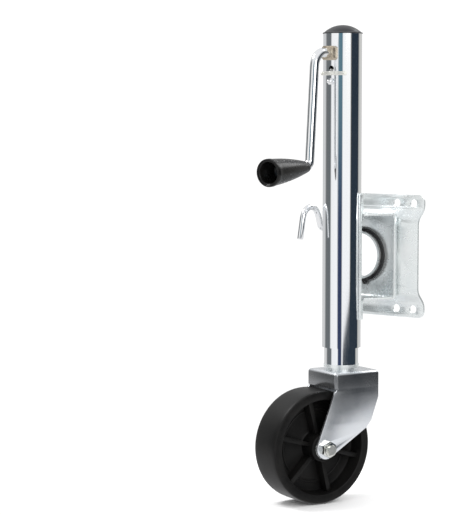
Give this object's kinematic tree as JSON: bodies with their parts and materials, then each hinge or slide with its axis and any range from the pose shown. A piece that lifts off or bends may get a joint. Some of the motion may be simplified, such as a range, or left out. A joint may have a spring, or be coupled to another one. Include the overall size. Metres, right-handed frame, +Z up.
{
  "type": "trailer tongue jack",
  "caption": "Side-wind trailer tongue jack: plated tube jack with folding crank handle, swivel bracket with pull pin, and a caster wheel on a pressed fork.",
  "frame": {"origin": "centre of the bracket's bolt pattern, on the face of its ears that meets the trailer's rail", "axes": "+Y out of the mounting face into the rail, +Z up along the jack's tube, +X to the right; the crank points to -Y"},
  "size_m": [0.152, 0.2257, 0.6238],
  "materials": {
    "zinc_satin": "bright zinc plating, satin",
    "plated_tube": "bright plating, mirror-like",
    "plated_rod": "bright plating",
    "black_cap": "satin moulded plastic",
    "black_grip": "semi-gloss moulded plastic",
    "black_ring": "black oxide",
    "black_nylon": "moulded nylon",
    "bush_brass": "satin brass",
    "gear_steel": "machined steel, greased",
    "spring_steel": "drawn wire",
    "fastener_zinc": "bright zinc plating",
    "wheel_black": "moulded plastic, matte"
  },
  "bodies": {
    "bracket": {"mount_plate": "zinc_satin", "pivot_spindle": "zinc_satin", "pivot_retaining_ring": "black_ring"},
    "jack": {"outer_tube": "plated_tube", "top_cap": "black_cap", "saddle": "zinc_satin", "pin_housing": "zinc_satin", "pivot_washer": "black_nylon", "crank_bush": "bush_brass", "rear_bush": "bush_brass", "support_plate": "gear_steel", "guard_strap": "plated_rod", "strap_rivets": "plated_rod", "grease_nipple": "plated_rod", "upper_race": "gear_steel", "bearing_balls": "gear_steel"},
    "lock_pin": {"lock_pin": "plated_rod", "pin_collar": "plated_rod", "pin_spring": "spring_steel"},
    "crank": {"crank_rod": "plated_rod", "crank_pinion": "gear_steel", "grip_clip": "plated_rod"},
    "grip": {"crank_grip": "black_grip"},
    "screw": {"lift_screw": "gear_steel", "screw_gear": "gear_steel", "lower_race": "gear_steel"},
    "inner": {"inner_tube": "plated_tube", "lift_nut": "bush_brass", "bottom_plug": "zinc_satin", "kingpin": "gear_steel"},
    "fork": {"caster_fork": "zinc_satin", "swivel_washer": "zinc_satin", "axle_bolt": "fastener_zinc", "axle_nut": "fastener_zinc", "axle_washers": "fastener_zinc", "axle_sleeve": "fastener_zinc"},
    "wheel": {"wheel": "wheel_black"}
  },
  "joints": [
    {"name": "swing_up", "type": "hinge", "parent": "bracket", "child": "jack", "pos_m": [-0.0145, 0, 0], "axis": [0, 1, 0], "range_deg": [-90, 90]},
    {"name": "lock_pin_pull", "type": "slide", "parent": "jack", "child": "lock_pin", "axis": [0, -1, 0], "range_m": [-0.009, 0.004], "deforming": ["pin_spring"]},
    {"name": "crank_turn", "type": "hinge", "parent": "jack", "child": "crank", "pos_m": [-0.0145, -0.0633, 0.2655], "axis": [0, 1, 0], "range_deg": [0, 18000]},
    {"name": "grip_spin", "type": "hinge", "parent": "crank", "child": "grip", "pos_m": [-0.0145, -0.1363, 0.12], "axis": [0, -0.9976, -0.0698], "continuous": true},
    {"name": "screw_spin", "type": "hinge", "parent": "jack", "child": "screw", "pos_m": [-0.0145, -0.0633, 0.2655], "axis": [0, 0, 1], "range_deg": [-18000, 0]},
    {"name": "lift", "type": "slide", "parent": "jack", "child": "inner", "axis": [0, 0, -1], "range_m": [0, 0.25]},
    {"name": "caster_swivel", "type": "hinge", "parent": "inner", "child": "fork", "pos_m": [-0.0145, -0.0633, -0.149], "axis": [0, 0, 1], "continuous": true},
    {"name": "wheel_spin", "type": "hinge", "parent": "fork", "child": "wheel", "pos_m": [-0.03023, -0.10653, -0.246], "axis": [0.9397, -0.342, 0], "continuous": true}
  ],
  "couplings": [
    {"joint": "screw_spin", "follows": "crank_turn", "ratio": -1},
    {"joint": "lift", "follows": "crank_turn", "m_per_rad": 0.00079577}
  ]
}
